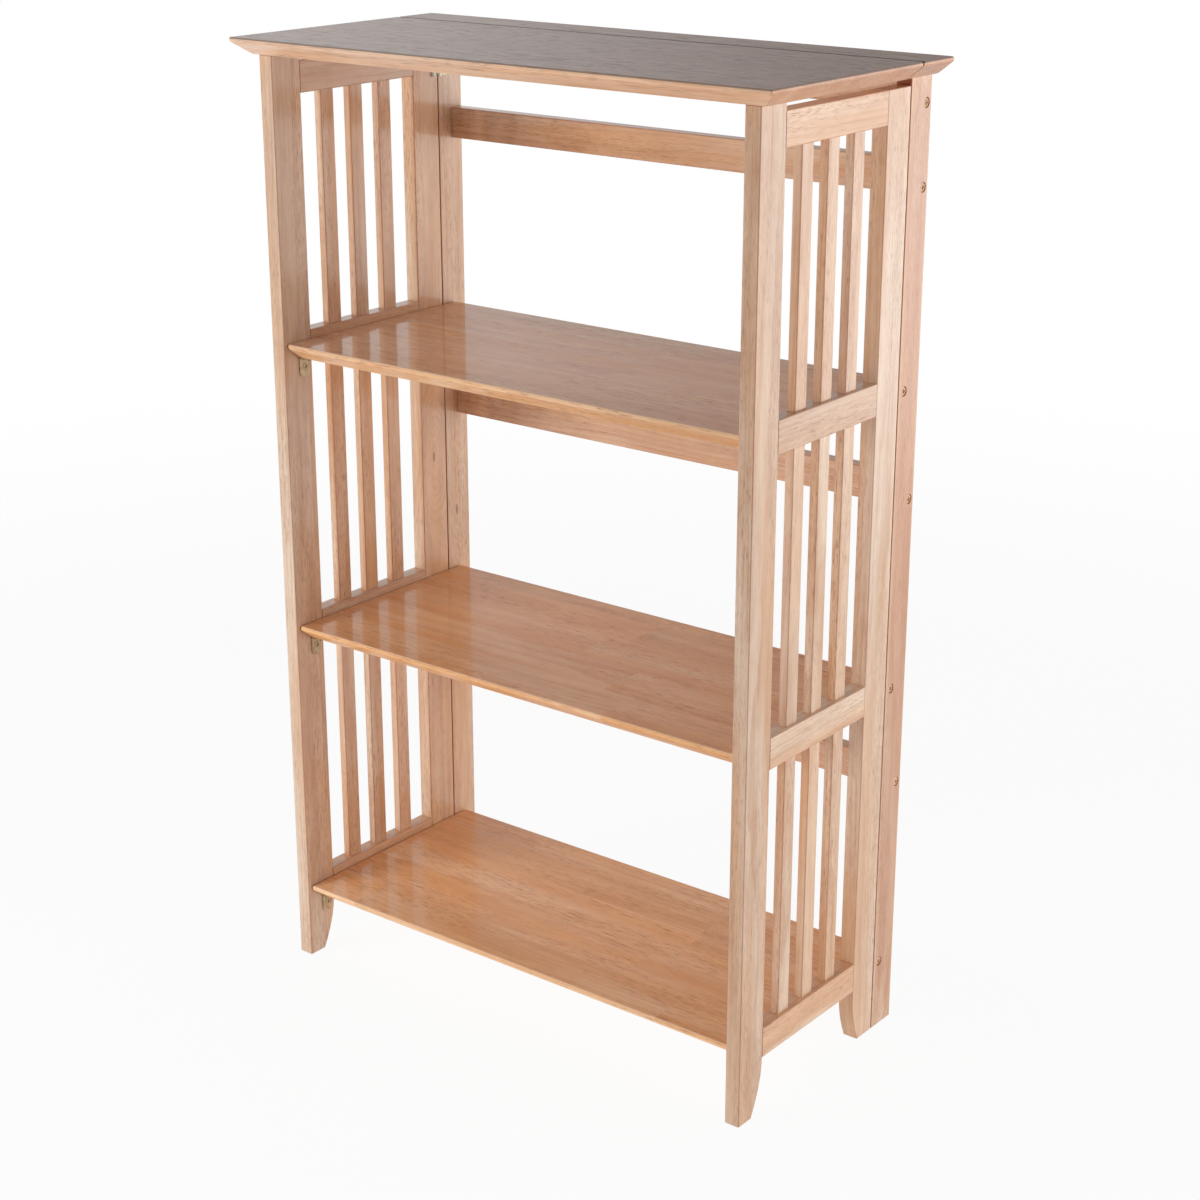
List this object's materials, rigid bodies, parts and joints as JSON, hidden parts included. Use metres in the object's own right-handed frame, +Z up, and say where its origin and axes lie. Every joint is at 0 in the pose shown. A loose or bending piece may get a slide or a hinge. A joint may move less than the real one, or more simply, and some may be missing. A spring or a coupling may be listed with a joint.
{
  "type": "folding bookcase",
  "caption": "Free-standing wooden bookcase with slatted sides, shelves that swing up to fold, and a bevelled top in two hinged boards",
  "frame": {"origin": "on the floor, under the middle of the top", "axes": "+Z up, +Y towards the back, so the open front faces -Y, and +X to the right as seen from the front"},
  "size_m": [0.69, 0.322, 1.08],
  "materials": {
    "frame_wood": "satin clear coat",
    "shelf_wood": "satin clear coat",
    "top_wood": "satin clear coat",
    "plate_metal": "dull plated",
    "hinge_metal": "dull plated",
    "bolt_metal": "dull plated"
  },
  "bodies": {
    "back_frame": {"left_rear_upright": "frame_wood", "right_rear_upright": "frame_wood", "lower_back_rail": "frame_wood", "middle_back_rail": "frame_wood", "upper_back_rail": "frame_wood", "top_back_rail": "frame_wood", "top_rear_strip": "top_wood", "left_top_hinge": "hinge_metal", "right_top_hinge": "hinge_metal", "left_lower_hinge": "hinge_metal", "left_upper_hinge": "hinge_metal", "right_lower_hinge": "hinge_metal", "right_upper_hinge": "hinge_metal", "left_lower_pivot_bolt": "bolt_metal", "left_middle_pivot_bolt": "bolt_metal", "left_upper_pivot_bolt": "bolt_metal", "right_lower_pivot_bolt": "bolt_metal", "right_middle_pivot_bolt": "bolt_metal", "right_upper_pivot_bolt": "bolt_metal"},
    "left_side": {"left_front_stile": "frame_wood", "left_rear_stile": "frame_wood", "left_lower_rail": "frame_wood", "left_middle_rail": "frame_wood", "left_upper_rail": "frame_wood", "left_top_rail": "frame_wood", "left_lower_slat_1": "frame_wood", "left_lower_slat_2": "frame_wood", "left_lower_slat_3": "frame_wood", "left_middle_slat_1": "frame_wood", "left_middle_slat_2": "frame_wood", "left_middle_slat_3": "frame_wood", "left_upper_slat_1": "frame_wood", "left_upper_slat_2": "frame_wood", "left_upper_slat_3": "frame_wood", "left_lower_shelf_plate": "plate_metal", "left_middle_shelf_plate": "plate_metal", "left_upper_shelf_plate": "plate_metal"},
    "right_side": {"right_front_stile": "frame_wood", "right_rear_stile": "frame_wood", "right_lower_rail": "frame_wood", "right_middle_rail": "frame_wood", "right_upper_rail": "frame_wood", "right_top_rail": "frame_wood", "right_lower_slat_1": "frame_wood", "right_lower_slat_2": "frame_wood", "right_lower_slat_3": "frame_wood", "right_middle_slat_1": "frame_wood", "right_middle_slat_2": "frame_wood", "right_middle_slat_3": "frame_wood", "right_upper_slat_1": "frame_wood", "right_upper_slat_2": "frame_wood", "right_upper_slat_3": "frame_wood", "right_lower_shelf_plate": "plate_metal", "right_middle_shelf_plate": "plate_metal", "right_upper_shelf_plate": "plate_metal"},
    "top_board": {"top_front_board": "top_wood"},
    "lower_shelf": {"lower_shelf": "shelf_wood"},
    "middle_shelf": {"middle_shelf": "shelf_wood"},
    "upper_shelf": {"upper_shelf": "shelf_wood"}
  },
  "joints": [
    {"name": "lower_shelf_fold", "type": "hinge", "parent": "back_frame", "child": "lower_shelf", "pos_m": [0, 0.1325, 0.081], "axis": [-1, 0, 0], "range_deg": [0, 90]},
    {"name": "middle_shelf_fold", "type": "hinge", "parent": "back_frame", "child": "middle_shelf", "pos_m": [0, 0.1325, 0.411], "axis": [-1, 0, 0], "range_deg": [0, 90]},
    {"name": "upper_shelf_fold", "type": "hinge", "parent": "back_frame", "child": "upper_shelf", "pos_m": [0, 0.1325, 0.741], "axis": [-1, 0, 0], "range_deg": [0, 90]},
    {"name": "left_side_fold", "type": "hinge", "parent": "back_frame", "child": "left_side", "pos_m": [-0.3003, 0.1211, 0.54], "axis": [0, 0, 1], "range_deg": [0, 0.2]},
    {"name": "right_side_fold", "type": "hinge", "parent": "back_frame", "child": "right_side", "pos_m": [0.3003, 0.1211, 0.54], "axis": [0, 0, -1], "range_deg": [0, 0.2]},
    {"name": "top_board_fold", "type": "hinge", "parent": "back_frame", "child": "top_board", "pos_m": [0, 0.1021, 1.0593], "axis": [-1, 0, 0], "range_deg": [0, 2]}
  ]
}
